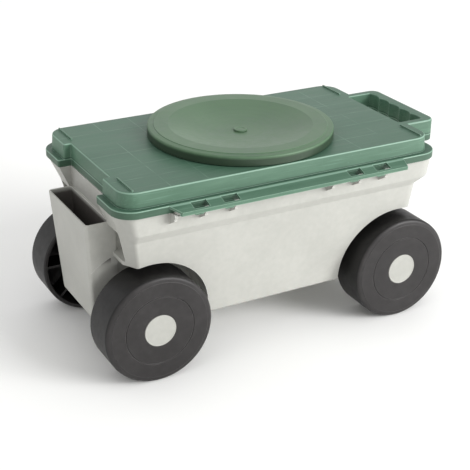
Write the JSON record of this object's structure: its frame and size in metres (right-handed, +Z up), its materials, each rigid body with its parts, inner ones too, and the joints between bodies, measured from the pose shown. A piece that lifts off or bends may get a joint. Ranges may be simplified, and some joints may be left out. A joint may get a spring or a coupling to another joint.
{
  "type": "rolling garden tool cart with swivel seat",
  "caption": "Moulded garden tool cart on wheels with a hinged lid, a round swivel seat on the lid, a pull handle and an open tool pocket.",
  "frame": {"origin": "centre of the whole cart's box, on the floor", "axes": "+X along the cart from the tool pocket to the pull handle, +Z up, so that the lid's hinge is on the -Y side"},
  "size_m": [0.579, 0.3106, 0.3013],
  "materials": {
    "tub": "warm light grey moulded polypropylene with a fine matt texture",
    "lid": "dark green moulded polypropylene, satin",
    "seat": "olive green moulded polypropylene, satin",
    "wheel": "black moulded polyethylene, satin",
    "hub_cap": "light grey moulded plastic",
    "nylon": "natural nylon",
    "steel": "zinc plated"
  },
  "bodies": {
    "tub": {"tub": "tub", "rear_axle": "steel", "rear_left_push_nut": "steel", "rear_left_axle_washer": "nylon", "rear_right_push_nut": "steel", "rear_right_axle_washer": "nylon", "front_axle": "steel", "front_left_push_nut": "steel", "front_left_axle_washer": "nylon", "front_right_push_nut": "steel", "front_right_axle_washer": "nylon"},
    "lid": {"lid": "lid", "seat_glide_ring": "nylon"},
    "seat": {"seat_disc": "seat", "seat_centre_cap": "seat", "seat_pivot_bolt": "steel", "seat_pivot_washer": "steel", "seat_pivot_nut": "steel"},
    "rear_left_wheel": {"rear_left_wheel": "wheel", "rear_left_hub_cap": "hub_cap"},
    "rear_right_wheel": {"rear_right_wheel": "wheel", "rear_right_hub_cap": "hub_cap"},
    "front_left_wheel": {"front_left_wheel": "wheel", "front_left_hub_cap": "hub_cap"},
    "front_right_wheel": {"front_right_wheel": "wheel", "front_right_hub_cap": "hub_cap"}
  },
  "joints": [
    {"name": "lid_hinge", "type": "hinge", "parent": "tub", "child": "lid", "pos_m": [-0.0075, -0.1453, 0.2476], "axis": [1, 0, 0], "range_deg": [0, 105]},
    {"name": "seat_swivel", "type": "hinge", "parent": "lid", "child": "seat", "pos_m": [-0.0075, 0.0072, 0.279], "axis": [0, 0, 1], "continuous": true},
    {"name": "rear_left_wheel_spin", "type": "hinge", "parent": "tub", "child": "rear_left_wheel", "pos_m": [-0.2095, 0.1262, 0.08], "axis": [0, 1, 0], "continuous": true},
    {"name": "rear_right_wheel_spin", "type": "hinge", "parent": "tub", "child": "rear_right_wheel", "pos_m": [-0.2095, -0.1118, 0.08], "axis": [0, 1, 0], "continuous": true},
    {"name": "front_left_wheel_spin", "type": "hinge", "parent": "tub", "child": "front_left_wheel", "pos_m": [0.1945, 0.1262, 0.08], "axis": [0, 1, 0], "continuous": true},
    {"name": "front_right_wheel_spin", "type": "hinge", "parent": "tub", "child": "front_right_wheel", "pos_m": [0.1945, -0.1118, 0.08], "axis": [0, 1, 0], "continuous": true}
  ]
}
